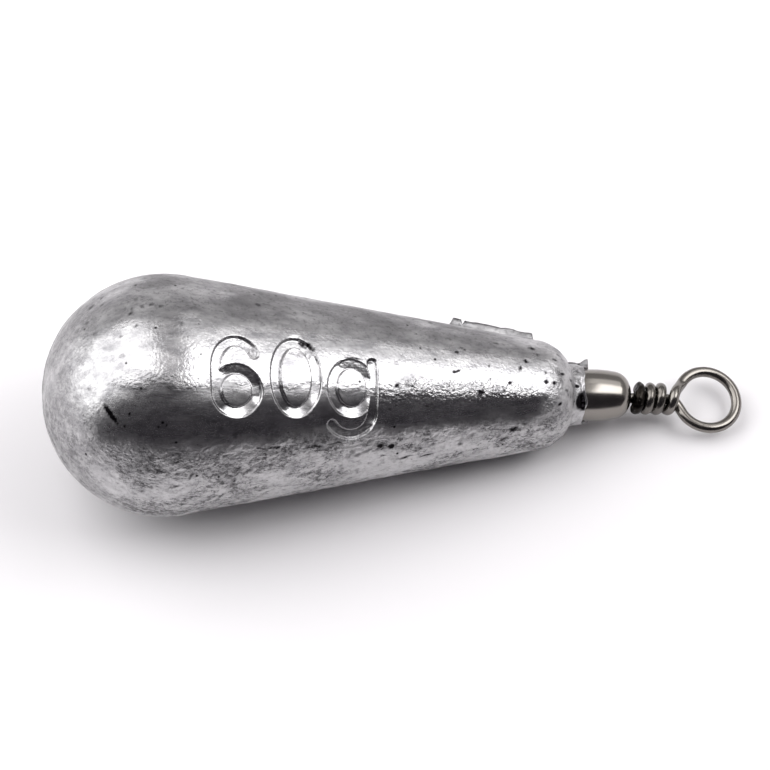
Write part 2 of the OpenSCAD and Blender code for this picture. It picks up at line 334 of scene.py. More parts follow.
def flash_height(s, r, phi):
    """Height in mm of the flash: steep-walled on the far side, and a low seam on both sides."""
    far_side = 1 - smooth(0.09, 0.18, r * np.abs(phi - np.pi / 2))
    near_side = 1 - smooth(0.08, 0.2, r * np.abs(phi + np.pi / 2))
    on_fin = (s > FIN_FROM_S) & (s < FIN_FROM_S + FIN_L)
    fin = np.where(on_fin, FIN_H - FIN_FALL * (s - FIN_FROM_S) / FIN_L, 0)
    stub = np.where((s > STUB_FROM_S) & (s < STUB_TO_S), STUB_H, 0)
    foot = np.where((s > STUB_FOOT_FROM_S) & (s < STUB_FOOT_TO_S), STUB_FOOT_H, 0)
    spike = SPIKE_FOOT_H * smooth(*SPIKE_FOOT, s) + SPIKE_TIP_H * smooth(*SPIKE_TIP, s)
    far_flash = np.maximum.reduce([fin, stub, foot, spike, np.full_like(s, SEAM_H)])
    return far_side * far_flash + near_side * SEAM_H


# Where the skin changes, from the first of two values to the second: degrees round the axis from
# the marked half's middle, or mm along it. The metal chilled rough low on the near side, on the
# butt and round the shoulder, a little on the far side, and in grains beside the bright band.
NEAR_ROUGH = (28, 43)
FAR_ROUGH = (34, 70)
BUTT_SMOOTHER = (1.5, 5.5)
BUTT_ROUGH = (3.8, 7)
SHOULDER_ROUGH = (26.2, 28.6)
BAND_GRAINS, BAND_GRAINS_END = (13, 17), (26, 28)
BAND_GRAINS_AT, BAND_GRAINS_HALF = -7, 9
TOP_GRAINS, TOP_GRAINS_LESS = (-9, -5), (12, 26)
DULL, DULL_END = (24, 40), (24, 28)
DULL_LESS = (1, 5)
# Past the first number of degrees from the second, the underside is painted darker and duller:
# painted shade, so that it bounces less light into the table's shadow.
UNDERSIDE_SHADE, UNDERSIDE_SHADE_AT = (80, 106), -12

# A low ridge at the foot of the bright band: its height and half width in mm, and its place in
# degrees, which drifts round the cone with each mm.
RIDGE_H, RIDGE_HALF = 0.045, 0.5
RIDGE_AT, RIDGE_DRIFT = -1.0, 0.42
RIDGE_START, RIDGE_END = (13, 19), (26.5, 28)


def skin(s, phi, bare):
    """How rough, grainy and dull the cast skin is at each point, 0 to 1 or a little more; the last
    also holds painted shade on the underside.
    """
    degrees = np.degrees(phi) + 3 * lattice_noise(bare, 1.6, 10)
    degrees += 1.5 * lattice_noise(bare, 0.5, 16)
    half_turn = np.where(np.abs(degrees) > 90, 180 - np.abs(degrees), np.abs(degrees))
    bare_collar = smooth(neck_s + 0.1, neck_s + 0.5, s)
    near = smooth(*NEAR_ROUGH, half_turn) * (degrees < 0) * (1 - 0.5 * smooth(*BUTT_SMOOTHER, -s))
    far = 0.3 * smooth(*FAR_ROUGH, half_turn) * (degrees >= 0)
    butt = 0.35 * smooth(*BUTT_ROUGH, -s)
    shoulder = 0.8 * smooth(*SHOULDER_ROUGH, s + 0.8 * lattice_noise(bare, 1.2, 11))
    rough = np.maximum.reduce([
        near * (1 - bare_collar), far * (1 - bare_collar), butt, shoulder * (1 - bare_collar),
        0.25 * bare_collar,
    ])
    beside_band = smooth(*BAND_GRAINS, s) * (1 - smooth(*BAND_GRAINS_END, s))
    beside_band *= np.exp(-((degrees - BAND_GRAINS_AT) / BAND_GRAINS_HALF) ** 2)
    on_top = smooth(*TOP_GRAINS_LESS, degrees)
    on_top = 0.12 * on_top + 0.25 * smooth(*TOP_GRAINS, degrees) * (1 - on_top)
    grainy = np.clip(np.maximum.reduce([0.6 * rough, beside_band, on_top]), 0, 1)
    dull_and_underside_shade = smooth(*DULL, degrees) * (1 - 0.5 * smooth(*DULL_LESS, -s)) * (1 - smooth(*DULL_END, s))
    # Painted shade: the underside is made duller, and so darker in colour.
    painted_underside_shade = smooth(*UNDERSIDE_SHADE, np.abs(np.degrees(phi) - UNDERSIDE_SHADE_AT))
    return rough, grainy, np.maximum(dull_and_underside_shade, 1.4 * painted_underside_shade)


# The waves of the skin: height in mm where it is smooth, what full roughness adds to that, size in
# mm along and round the axis, and the noise's seed.
WAVES = [
    (0.035, 0, 6.0, 1),
    (0.011, 0, (3.6, 2.0, 2.0), 2),
    (0.003, 0.045, (1.3, 0.8, 0.8), 3),
    (0.001, 0.03, (0.55, 0.4, 0.4), 4),
]


def lead_surface(s, r, normal_s, normal_r, phi):
    """Points on the cast surface, and how rough, dented, grainy and dull it is at each of them; the
    dullness also holds the underside's painted shade.

    The outline is moved along its normal by the sum of the waves, the ridge, the mark, the pits,
    the flash and the collar's own lumps, and the collar's lip is moved along the axis.
    """
    bare = round_the_axis(s, r, phi)
    rough, grainy, dull_and_underside_shade = skin(s, phi, bare)
    out = sum(
        (height + added * rough) * lattice_noise(bare, size, seed)
        for height, added, size, seed in WAVES
    )
    from_ridge = r * (phi - np.radians(RIDGE_AT - RIDGE_DRIFT * s)) / RIDGE_HALF
    ridge = RIDGE_H * smooth(*RIDGE_START, s) * (1 - smooth(*RIDGE_END, s))
    out += ridge * np.exp(-from_ridge ** 2)
    dark = pits_and_crease(s, r, phi, bare)
    on_collar = smooth(neck_s, neck_s + 0.4, s)
    out -= mark_depth(s, r * phi) + (0.04 + 0.1 * on_collar) * dark ** 2
    out += flash_height(s, r, phi) * (1 + 0.12 * lattice_noise(bare, 0.45, 5))
    out += on_collar * (0.12 * lattice_noise(bare, 0.6, 6) + 0.03 * lattice_noise(bare, 0.26, 17))
    lip = smooth(neck_s + 0.5, neck_s + COLLAR_L, s)
    dipped = COLLAR_DIP * smooth(-0.35, 0.3, np.cos(phi - COLLAR_DIP_AT))
    ragged = lip * (0.14 * lattice_noise(round_the_axis(0 * s, r, phi), 0.7, 7) - dipped)
    points = round_the_axis(s + out * normal_s + ragged, r + out * normal_r, phi)
    return points, rough, np.clip(dark, 0, 1), grainy, dull_and_underside_shade


def finer(row, first, last, split):
    """The values of a row from first to last, with that many steps for each one."""
    at = np.linspace(first, last, (last - first) * split + 1)
    return np.interp(at, np.arange(len(row)), row)


def quads(a, b, c, d):
    """Faces with four corners each, from four arrays of their corners' numbers."""
    return np.stack([a.reshape(-1), b.reshape(-1), c.reshape(-1), d.reshape(-1)], axis=1).tolist()


def edge_cells(far, near, split):
    """Faces between a coarse row and the patch's edge: two coarse corners, then its points back."""
    steps = np.arange(len(far) - 1)[:, None] * split
    backwards = near[steps + np.arange(split, -1, -1)]
    return np.concatenate([far[:-1, None], far[1:, None], backwards], axis=1)


def lead_mesh(name, outline, columns, split=3):
    """A grid round the axis, with a patch where the mark is whose cells are split times finer.

    The cells that meet the patch take in the extra points of its edge. Behind the collar's lip
    come the rings of the bed that the barrel lies in, and a point closes each end.
    """
    top, bottom = [int(np.argmin(np.abs(outline[0] - s))) for s in (MARK_FROM_S, MARK_TO_S)]
    left, right = [
        int(np.argmin(np.abs(np.degrees(columns) - d)))
        for d in (MARK_FROM_DEGREES, MARK_TO_DEGREES)
    ]
    grid = np.broadcast_arrays(*outline[:, :, None], columns)
    patch = np.broadcast_arrays(
        *[finer(row, top, bottom, split)[:, None] for row in outline],
        finer(columns, left, right, split),
    )
    coarse, fine = lead_surface(*grid), lead_surface(*patch)
    lip_s = coarse[0][-1, :, 0]
    bed = np.stack([
        round_the_axis(lip_s - back, np.full_like(columns, r), columns)
        for back, r in (
            (0, BARREL_R + 0.005), (1.2, BARREL_R - 0.05), (3.0, BARREL_R - 0.4), (3.5, 1.0),
        )
    ])
    ends = np.array([[outline[0, 0], 0, 0], [bed[-1, :, 0].mean(), 0, 0]])

    around = len(columns)
    rows = outline.shape[1] + len(bed)
    whole = np.arange(rows * around).reshape(rows, around)
    inner = rows * around + np.arange(patch[0].size).reshape(patch[0].shape)
    inner[::split, ::split] = whole[top:bottom + 1, left:right + 1]
    tips = rows * around + patch[0].size + np.arange(2)

    corner = whole[:-1], whole[1:], np.roll(whole[1:], -1, axis=1), np.roll(whole[:-1], -1, axis=1)
    plain = np.ones((rows - 1, around), dtype=bool)
    plain[top - 1:bottom + 1, left:right] = False
    plain[top:bottom, left - 1:right + 1] = False
    faces = quads(*[c[plain] for c in corner])
    faces += quads(inner[:-1, :-1], inner[1:, :-1], inner[1:, 1:], inner[:-1, 1:])
    beside = slice(left, right + 1)
    level = slice(top, bottom + 1)
    for cells in (
        edge_cells(whole[top - 1, beside], inner[0], split)[:, ::-1],
        edge_cells(whole[bottom + 1, beside], inner[-1], split),
        edge_cells(whole[level, left - 1], inner[:, 0], split),
        edge_cells(whole[level, right + 1], inner[:, -1], split)[:, ::-1],
    ):
        faces += cells.tolist()
    first, last = whole[0], whole[-1]
    faces += np.stack([np.full(around, tips[0]), first, np.roll(first, -1)], axis=1).tolist()
    faces += np.stack([np.full(around, tips[1]), np.roll(last, -1), last], axis=1).tolist()

    points = np.concatenate([
        coarse[0].reshape(-1, 3), bed.reshape(-1, 3), fine[0].reshape(-1, 3), ends,
    ])
    nothing = np.zeros(bed[..., 0].size)
    used, renumbered = np.unique(np.concatenate([np.array(f) for f in faces]), return_inverse=True)
    lengths = np.array([len(f) for f in faces])
    faces = [f.tolist() for f in np.split(renumbered, np.cumsum(lengths)[:-1])]
    mesh = bpy.data.meshes.new(name)
    mesh.from_pydata(place(points[used]).tolist(), [], faces)
    mesh.polygons.foreach_set("use_smooth", [True] * len(mesh.polygons))
    for k, attribute_name in enumerate(("rough_cast", "dent", "grainy", "dull_and_underside_shade"), start=1):
        values = np.concatenate([coarse[k].reshape(-1), nothing, fine[k].reshape(-1), [0, 0]])
        attribute = mesh.attributes.new(attribute_name, "FLOAT", "POINT")
        attribute.data.foreach_set("value", values[used].astype(np.float32))
    mesh.update()
    return mesh


lead = bpy.data.objects.new("cast_lead_body", lead_mesh("cast_lead_body", lead_rows, lead_columns))
bpy.context.scene.collection.objects.link(lead)
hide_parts("lead_body")
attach(lead, "weight")


def linear(hex_colour):
    """An sRGB hex colour as linear red, green, blue and alpha."""
    c = np.array([int(hex_colour[i:i + 2], 16) for i in (1, 3, 5)]) / 255
    c = np.where(c <= 0.04045, c / 12.92, ((c + 0.055) / 1.055) ** 2.4)
    return (*c.tolist(), 1.0)


def add(tree, kind, inputs=None, **settings):
    """Adds a node with its settings, and sets each named input or links it to a socket."""
    node = tree.nodes.new(kind)
    for name, value in settings.items():
        setattr(node, name, value)
    for key, value in (inputs or {}).items():
        if isinstance(value, bpy.types.NodeSocket):
            tree.links.new(value, node.inputs[key])
        else:
            node.inputs[key].default_value = value
    return node


def new_material(name):
    """An empty material, its tree and its output node."""
    material = bpy.data.materials.new(name)
    material.use_nodes = True
    material.node_tree.nodes.clear()
    return material, material.node_tree, material.node_tree.nodes.new("ShaderNodeOutputMaterial")


def per(size_mm):
    """The scale of a texture whose marks are that many mm across, in Object coordinates."""
    return 1 / (size_mm * MM)


# Cast lead: soft grey metal, bright where the mould was smooth, and dull and broken where the
# metal chilled. Dark oxide sits in its pits and creases.
# The underside's colour is painted darker, as painted shade, through the attribute that also holds
# dullness.
material, tree, output = new_material("cast lead")
coord = add(tree, "ShaderNodeTexCoord").outputs["Object"]
along = add(tree, "ShaderNodeMapping", {
    "Vector": coord, "Rotation": (0.0, -cone_angle, 0.0),
}).outputs["Vector"]

# The same coordinates drawn out along the axis: a little, about twice, and into long lines.
rolled, drawn, combed = [
    add(tree, "ShaderNodeMapping", {"Vector": along, "Scale": (shrink, 1.0, 1.0)}).outputs["Vector"]
    for shrink in (0.75, 0.45, 0.06)
]
rough_cast, dent, grainy, dull_and_underside_shade = [
    add(tree, "ShaderNodeAttribute", attribute_name=name).outputs["Fac"]
    for name in ("rough_cast", "dent", "grainy", "dull_and_underside_shade")
]

# Clouds of oxide, the mottle of the skin, its crust and its grain give colour alone. Fine lines
# from the mould, granules and lumps give height: coarser than real ones, so that they show.
cloud, mottle, crust, grain, lines, granules, lumps = [
    add(tree, "ShaderNodeTexNoise", {
        "Vector": vector, "Scale": per(size), "Detail": detail, "Roughness": roughness,
    }).outputs["Fac"]
    for vector, size, detail, roughness in (
        (drawn, 2.6, 3.0, 0.55),
        (drawn, 0.9, 6.0, 0.65),
        (rolled, 0.42, 8.0, 0.78),
        (along, 0.3, 5.0, 0.7),
        (combed, 0.14, 3.0, 0.6),
        (along, 0.22, 2.0, 0.5),
        (rolled, 0.4, 2.0, 0.5),
    )
]

# Small gas pits, in about one cell in three, and the mesh's own pits.
cell = add(tree, "ShaderNodeTexVoronoi", {"Vector": along, "Scale": per(1.1)}).outputs
hole = add(tree, "ShaderNodeMapRange", {
    "Value": cell["Distance"], "From Min": 0.06, "From Max": 0.12, "To Min": 1.0, "To Max": 0.0,
}).outputs["Result"]
chosen = add(tree, "ShaderNodeMath", {0: cell["Color"], 1: 0.55}, operation="GREATER_THAN")
hole = add(tree, "ShaderNodeMath", {0: hole, 1: chosen.outputs[0]}, operation="MULTIPLY").outputs[0]
pit = add(tree, "ShaderNodeMapRange", {
    "Value": dent, "From Min": 0.06, "From Max": 0.5,
}).outputs["Result"]
hole = add(tree, "ShaderNodeMath", {0: hole, 1: pit}, operation="MAXIMUM").outputs[0]

# Larger spots of oxide with ragged edges, darkest where the skin is dull and on the underside,
# where that darkening is painted shade.
cell = add(tree, "ShaderNodeTexVoronoi", {"Vector": along, "Scale": per(2.4)}).outputs
ragged = add(tree, "ShaderNodeMath", {
    0: mottle, 1: 0.3, 2: cell["Distance"],
}, operation="MULTIPLY_ADD").outputs[0]
spot = add(tree, "ShaderNodeMapRange", {
    "Value": ragged, "From Min": 0.2, "From Max": 0.27, "To Min": 1.0, "To Max": 0.0,
}).outputs["Result"]
spot_depth_where_dull_and_shaded = add(tree, "ShaderNodeMapRange", {
    "Value": dull_and_underside_shade, "To Min": 0.4, "To Max": 0.75,
}).outputs["Result"]
spot = add(tree, "ShaderNodeMath", {0: spot, 1: spot_depth_where_dull_and_shaded}, operation="MULTIPLY").outputs[0]

# Crevices and flakes of the crust, closest together where the clouds are, and specks of grain,
# darker where the skin is dull and on the underside, where that is painted shade.
lean = add(tree, "ShaderNodeMath", {0: cloud, 1: 0.4, 2: -0.2}, operation="MULTIPLY_ADD")
uneven = add(tree, "ShaderNodeMath", {
    0: crust, 1: lean.outputs[0],
}, operation="SUBTRACT").outputs[0]
crevice = add(tree, "ShaderNodeMapRange", {
    "Value": uneven, "From Min": 0.435, "From Max": 0.395,
}).outputs["Result"]
crevice = add(tree, "ShaderNodeMath", {0: crevice, 1: rough_cast}, operation="MULTIPLY").outputs[0]
flake = add(tree, "ShaderNodeMapRange", {
    "Value": uneven, "From Min": 0.45, "From Max": 0.56, "To Max": 0.6,
}).outputs["Result"]
flake = add(tree, "ShaderNodeMath", {0: flake, 1: rough_cast}, operation="MULTIPLY").outputs[0]
speck = add(tree, "ShaderNodeMapRange", {
    "Value": grain, "From Min": 0.48, "From Max": 0.34,
}).outputs["Result"]
speck_depth_where_dull_and_shaded = add(tree, "ShaderNodeMapRange", {
    "Value": dull_and_underside_shade, "To Min": 0.5, "To Max": 1.0,
}).outputs["Result"]
speck = add(tree, "ShaderNodeMath", {0: speck, 1: speck_depth_where_dull_and_shaded}, operation="MULTIPLY").outputs[0]

# Thin broken creases: where the mottle is close to its middle value, and only in some clouds.
vein = add(tree, "ShaderNodeMath", {0: mottle, 1: 0.5}, operation="SUBTRACT").outputs[0]
vein = add(tree, "ShaderNodeMath", {0: vein}, operation="ABSOLUTE").outputs[0]
vein = add(tree, "ShaderNodeMapRange", {
    "Value": vein, "From Min": 0.004, "From Max": 0.022, "To Min": 1.0, "To Max": 0.0,
}).outputs["Result"]
cluster = add(tree, "ShaderNodeMapRange", {
    "Value": cloud, "From Min": 0.42, "From Max": 0.5,
}).outputs["Result"]
vein = add(tree, "ShaderNodeMath", {0: vein, 1: cluster}, operation="MULTIPLY").outputs[0]
vein = add(tree, "ShaderNodeMath", {0: vein, 1: rough_cast}, operation="MULTIPLY").outputs[0]
crevice = add(tree, "ShaderNodeMath", {0: crevice, 1: vein}, operation="MAXIMUM").outputs[0]

# The colour: a mottled skin, then each kind of stain over it, up to the dark of the pits.
mottled = add(tree, "ShaderNodeMapRange", {
    "Value": mottle, "From Min": 0.3, "From Max": 0.65,
}).outputs["Result"]
clouded = add(tree, "ShaderNodeMapRange", {
    "Value": cloud, "From Min": 0.42, "From Max": 0.62, "To Max": 0.38,
}).outputs["Result"]
smudge = add(tree, "ShaderNodeMapRange", {
    "Value": cloud, "From Min": 0.4, "From Max": 0.6, "To Min": 0.1, "To Max": 0.6,
}).outputs["Result"]
# Smudges where the skin is dull, and painted shade in the same colour on the underside.
smudge_and_underside_shade = add(tree, "ShaderNodeMath", {0: dull_and_underside_shade, 1: smudge}, operation="MULTIPLY").outputs[0]
specked = add(tree, "ShaderNodeMath", {0: speck, 1: 0.6}, operation="MULTIPLY").outputs[0]
creviced = add(tree, "ShaderNodeMath", {0: crevice, 1: 0.85}, operation="MULTIPLY").outputs[0]
tone = linear("#858487")
for amount, colour in (
    (mottled, "#c7c6c7"),
    (clouded, "#8e8d8f"),
    (flake, "#d2d1d2"),
    (smudge_and_underside_shade, "#706f70"),
    (specked, "#5c5b5c"),
    (creviced, "#4c4b4c"),
    (spot, "#3a383c"),
    (hole, "#1b191c"),
):
    tone = add(tree, "ShaderNodeMix", {
        0: amount, 6: tone, 7: linear(colour),
    }, data_type="RGBA").outputs[2]

# The height, and a gloss that is soft where the skin is rough, dull, clouded or lined.
strong = add(tree, "ShaderNodeMapRange", {
    "Value": rough_cast, "To Min": 0.07, "To Max": 1.0,
}).outputs["Result"]
granular = add(tree, "ShaderNodeMath", {0: granules, 1: grainy}, operation="MULTIPLY").outputs[0]
lumpy = add(tree, "ShaderNodeMath", {0: lumps, 1: strong}, operation="MULTIPLY").outputs[0]
bump = add(tree, "ShaderNodeBump", {"Height": granular, "Distance": 0.12 * MM}).outputs["Normal"]
for height, distance in ((lines, 0.005), (lumpy, 0.08)):
    bump = add(tree, "ShaderNodeBump", {
        "Height": height, "Distance": distance * MM, "Normal": bump,
    }).outputs["Normal"]
worn = add(tree, "ShaderNodeMath", {0: rough_cast, 1: dull_and_underside_shade}, operation="MAXIMUM").outputs[0]
gloss = add(tree, "ShaderNodeMapRange", {
    "Value": worn, "To Min": 0.19, "To Max": 0.4,
}).outputs["Result"]
for amount, much in ((clouded, 0.14), (lines, 0.12)):
    gloss = add(tree, "ShaderNodeMath", {
        0: amount, 1: much, 2: gloss,
    }, operation="MULTIPLY_ADD").outputs[0]
shader = add(tree, "ShaderNodeBsdfPrincipled", {
    "Base Color": tone,
    "Metallic": 1.0,
    "Roughness": gloss,
    "Normal": bump,
})
tree.links.new(shader.outputs["BSDF"], output.inputs["Surface"])
lead.data.materials.append(material)

# The swivel's barrel: a drawn brass tube, nickel plated and bright, with its ends rolled in over
# the wire's heads. One half is cast into the lead.
BARREL_L = 6.8
BARREL_FRONT = 2.95
BARREL_SIDE_R = 10.0
BARREL_END_R = 1.35
BARREL_WALL = 0.45
MOUTH_R = 0.7
MOUTH_LIP_R = 0.07

# It is widest at BARREL_FRONT from its open end. In the lead it settled back from the joint's
# place, and to the side where low points: SWIVEL_LEANS from straight down to the near side.
BARREL_SET_BACK = 0.2
BARREL_LOW = 0.04
SWIVEL_LEANS = np.radians(62)
barrel_s = mouth_s - BARREL_SET_BACK - BARREL_L / 2
widest = BARREL_L / 2 - BARREL_FRONT
low = np.array([0, -np.sin(SWIVEL_LEANS), -np.cos(SWIVEL_LEANS)])


def grid_mesh(name, rows, joined=False):
    """A closed mesh of quads from rows of points round a form.

    Its ends close on their middles, or join up.
    """
    count, around = rows.shape[:2]
    points = rows.reshape(-1, 3)
    index = np.arange(count * around).reshape(count, around)
    ahead = np.roll(index, -1, axis=1)
    if joined:
        faces = quads(index, ahead, np.roll(ahead, -1, axis=0), np.roll(index, -1, axis=0))
    else:
        faces = quads(index[:-1], ahead[:-1], ahead[1:], index[1:])
        points = np.concatenate([points, [rows[0].mean(axis=0)], [rows[-1].mean(axis=0)]])
        first = np.full(around, count * around)
        faces += np.stack([first, ahead[0], index[0]], axis=1).tolist()
        faces += np.stack([first + 1, index[-1], ahead[-1]], axis=1).tolist()
    mesh = bpy.data.meshes.new(name)
    mesh.from_pydata(points.tolist(), [], faces)
    mesh.polygons.foreach_set("use_smooth", [True] * len(mesh.polygons))
    mesh.update()
    piece = bpy.data.objects.new(name, mesh)
    bpy.context.scene.collection.objects.link(piece)
    return piece


def barrel_side(half_l, inset, stop_r, steps):
    """[s, r] from the widest place to stop_r at the end, along the tube's outside or its bore.

    It is an arc of the side's radius, then one of the end's that meets it without a kink. The
    bore's arcs are inset by the wall.
    """
    half_l = half_l - inset
    side_r, end_r = BARREL_SIDE_R - inset, BARREL_END_R - inset
    end_s = half_l - end_r
    middle_r = BARREL_R - inset - side_r
    end_middle_r = middle_r + np.sqrt((side_r - end_r) ** 2 - end_s ** 2)
    meet = np.arccos(end_s / (side_r - end_r))
    stop = np.arcsin(max(0.0, (stop_r - end_middle_r) / end_r))
    a = np.linspace(np.pi / 2, meet, steps)
    b = np.linspace(meet, stop, steps)[1:]
    return np.concatenate([
        np.stack([side_r * np.cos(a), middle_r + side_r * np.sin(a)], axis=1),
        np.stack([end_s + end_r * np.cos(b), end_middle_r + end_r * np.sin(b)], axis=1),
    ])


def barrel_half(half_l):
    """[s, r] out along one half of the tube, a quarter round its lip, and back along the bore."""
    outside = barrel_side(half_l, inset=0, stop_r=MOUTH_R + MOUTH_LIP_R, steps=28)
    inside = barrel_side(half_l, inset=BARREL_WALL, stop_r=MOUTH_R, steps=12)
    turn = np.linspace(0, np.pi / 2, 5)[1:]
    lip = np.stack([
        outside[-1, 0] - MOUTH_LIP_R * (1 - np.cos(turn)),
        MOUTH_R + MOUTH_LIP_R * (1 - np.sin(turn)),
    ], axis=1)
    return np.concatenate([outside, lip, inside[::-1]])


front_half = barrel_half(BARREL_FRONT)
back_half = barrel_half(BARREL_L - BARREL_FRONT) * [-1, 1]
loop = np.concatenate([front_half, back_half[::-1][1:-1]]) + [widest, 0]
turns = np.linspace(0, 2 * np.pi, 97)[:-1]
tube = np.stack([
    barrel_s + loop[:, :1] + 0 * turns, loop[:, 1:] * np.cos(turns), loop[:, 1:] * np.sin(turns)
], axis=-1)
barrel = grid_mesh("barrel_tube", place(tube + BARREL_LOW * low), joined=True)
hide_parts("swivel_barrel")
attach(barrel, "weight")

# Bright nickel plate: a warm grey mirror, with a faint haze in patches.
material, tree, output = new_material("bright nickel plate")
coord = add(tree, "ShaderNodeTexCoord").outputs["Object"]
haze = add(tree, "ShaderNodeTexNoise", {
    "Vector": coord, "Scale": per(1.2), "Detail": 5.0,
}).outputs["Fac"]
gloss = add(tree, "ShaderNodeMapRange", {
    "Value": haze, "To Min": 0.14, "To Max": 0.26,
}).outputs["Result"]
shader = add(tree, "ShaderNodeBsdfPrincipled", {
    "Base Color": linear("#88847f"),
    "Metallic": 1.0,
    "Roughness": gloss,
})
tree.links.new(shader.outputs["BSDF"], output.inputs["Surface"])
barrel.data.materials.append(material)

# The free eye: one length of plated steel wire, with an upset head inside the barrel, a straight
# shank, a ring, and three close wraps back round the shank. It turns in the barrel's mouth, in
# which it lies WIRE_PLAY to the low side, and droops from there.
WIRE_D = 0.78
WIRE_R = WIRE_D / 2
HEAD_D = 1.8
HEAD_L = 1.0
HEAD_BACK = 0.3
RING_HOLE_D = 3.7
RING_ROLL = np.radians(4)
WRAPS = 3
WRAP_GAP = 0.04
BARREL_GAP = 0.02
CROSSING_SLACK = 0.13
WIRE_PLAY = 0.26
WIRE_DROOP = np.radians(1.2)

# Angles in degrees along the wire: round the ring, and then round the shank.
RING_FROM, RING_TO = 205, 505
WRAP_FROM, WRAP_TO = 120, 360 * WRAPS + 200
WRAP_STEPS = 240

# In wire diameters: how far the ring and the shank's end are from where the wire crosses back, and
# how hard the bends between shank, ring and wraps pull at their ends.
RING_CLEAR, SHANK_SHORT = 0.77, 0.6
LEAVE_SHANK, REACH_RING, LEAVE_RING, REACH_WRAPS = 1.03, 1.03, 0.9, 1.15
pitch = WIRE_D + WRAP_GAP
wrap_r = WIRE_D + WRAP_GAP
wrap_start = BARREL_L / 2 + BARREL_GAP + WIRE_R
cross_s = wrap_start + CROSSING_SLACK + pitch * (WRAP_TO - WRAP_FROM) / 360
ring_r = RING_HOLE_D / 2 + WIRE_R
ring_middle = cross_s + RING_CLEAR * WIRE_D + ring_r
shank_end = cross_s - SHANK_SHORT * WIRE_D
head_s = BARREL_L / 2 - BARREL_WALL - HEAD_BACK


def ring_point(a):
    """A circle of the ring's radius, sprung sideways from one end to the other by half a wire."""
    t = np.radians(a)
    z = 0.5 * WIRE_D * ((a - RING_FROM) / (RING_TO - RING_FROM) - 0.5)
    return np.stack([ring_middle + ring_r * np.cos(t), ring_r * np.sin(t), z], axis=-1)


def wrap_point(a):
    """A helix that comes back along the shank, with a longer step in its first half turn."""
    t = np.radians(a)
    s = wrap_start + pitch * (WRAP_TO - a) / 360 + CROSSING_SLACK * (1 - smooth(100, 330, a))
    return np.stack([s, wrap_r * np.cos(t), wrap_r * np.sin(t)], axis=-1)


def way(point, a):
    """Direction of a curve at an angle."""
    d = point(np.array(a + 1.0)) - point(np.array(a - 1.0))
    return d / np.linalg.norm(d)


def bend(a, da, b, db, steps=24):
    """A cubic curve that leaves a along da and reaches b along db, without its last point."""
    t = np.linspace(0, 1, steps, endpoint=False)[:, None]
    return (
        (1 - t) ** 3 * a + 3 * (1 - t) ** 2 * t * (a + da)
        + 3 * (1 - t) * t * t * (b - db) + t ** 3 * b
    )


def swept(path, radii, sides):
    """Rings of points round a path: each ring's normal is the last one's, made square again."""
    along = np.gradient(path, axis=0)
    along /= np.linalg.norm(along, axis=1)[:, None]
    normals = [np.array([0.0, 0.0, 1.0])]
    for d in along[1:]:
        n = normals[-1] - d * (normals[-1] @ d)
        normals.append(n / np.linalg.norm(n))
    normals = np.array(normals)
    side = np.cross(along, normals)
    t = np.linspace(0, 2 * np.pi, sides, endpoint=False)
    return path[:, None] + radii[:, None, None] * (
        np.cos(t)[None, :, None] * normals[:, None] + np.sin(t)[None, :, None] * side[:, None]
    )


# The head's dome, its rim, and the step down to the shank, then the shank itself.
dome = np.linspace(0, np.pi / 2, 10)
straight = np.concatenate([
    head_s - HEAD_L + HEAD_L / 2 * (1 - np.cos(dome)),
    [head_s - HEAD_L / 4, head_s, head_s + 0.01],
    np.linspace(head_s + 0.1, shank_end - 0.1, 14),
])
straight_r = np.concatenate([
    HEAD_D / 2 * np.sin(dome) + 0.01, [HEAD_D / 2, WIRE_D, WIRE_R], np.full(14, WIRE_R),
])
turned_by = np.linspace(WRAP_FROM, WRAP_TO, WRAP_STEPS)
bent = np.concatenate([
    bend(
        np.array([shank_end, 0, 0]), np.array([LEAVE_SHANK * WIRE_D, 0, 0]),
        ring_point(np.array(RING_FROM)), REACH_RING * WIRE_D * way(ring_point, RING_FROM),
    ),
    ring_point(np.linspace(RING_FROM, RING_TO, 150, endpoint=False)),
    bend(
        ring_point(np.array(RING_TO)), LEAVE_RING * WIRE_D * way(ring_point, RING_TO),
        wrap_point(np.array(WRAP_FROM)), REACH_WRAPS * WIRE_D * way(wrap_point, WRAP_FROM),
    ),
    wrap_point(turned_by),
])
path = np.concatenate([np.stack([straight, 0 * straight, 0 * straight], axis=1), bent])
path_r = np.concatenate([straight_r, np.full(len(bent), WIRE_R)])
roll = np.array([
    [1, 0, 0],
    [0, np.cos(RING_ROLL), -np.sin(RING_ROLL)],
    [0, np.sin(RING_ROLL), np.cos(RING_ROLL)],
])
rings = swept(path, path_r, sides=32) @ roll.T
path = path @ roll.T

# The last wrap is black, partly soot and partly painted shade, and torn where the wire was cut.
# From the first wrap on, the rest of the wire is painted a little darker: painted shade.
soot_and_shade = np.concatenate([
    np.zeros(len(path) - WRAP_STEPS),
    np.maximum(
        0.3 * smooth(WRAP_FROM, 260, turned_by), smooth(WRAP_TO - 350, WRAP_TO - 300, turned_by)
    ),
])
torn = 1 + 0.22 * soot_and_shade[:, None] * lattice_noise(rings, 0.32, 18)
rings = path[:, None] + (rings - path[:, None]) * torn[..., None]
beyond = rings[..., :1] - BARREL_L / 2
rings = rings + low * (WIRE_PLAY + beyond * np.tan(WIRE_DROOP))
eye = grid_mesh("wire_ring_eye", place(rings + [barrel_s, 0, 0]))
eye.data.attributes.new("soot_and_shade", "FLOAT", "POINT").data.foreach_set(
    "value", np.concatenate([np.repeat(soot_and_shade, rings.shape[1]), [0, 1]]).astype(np.float32)
)
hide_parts("line_eye")
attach(eye, "free_eye")

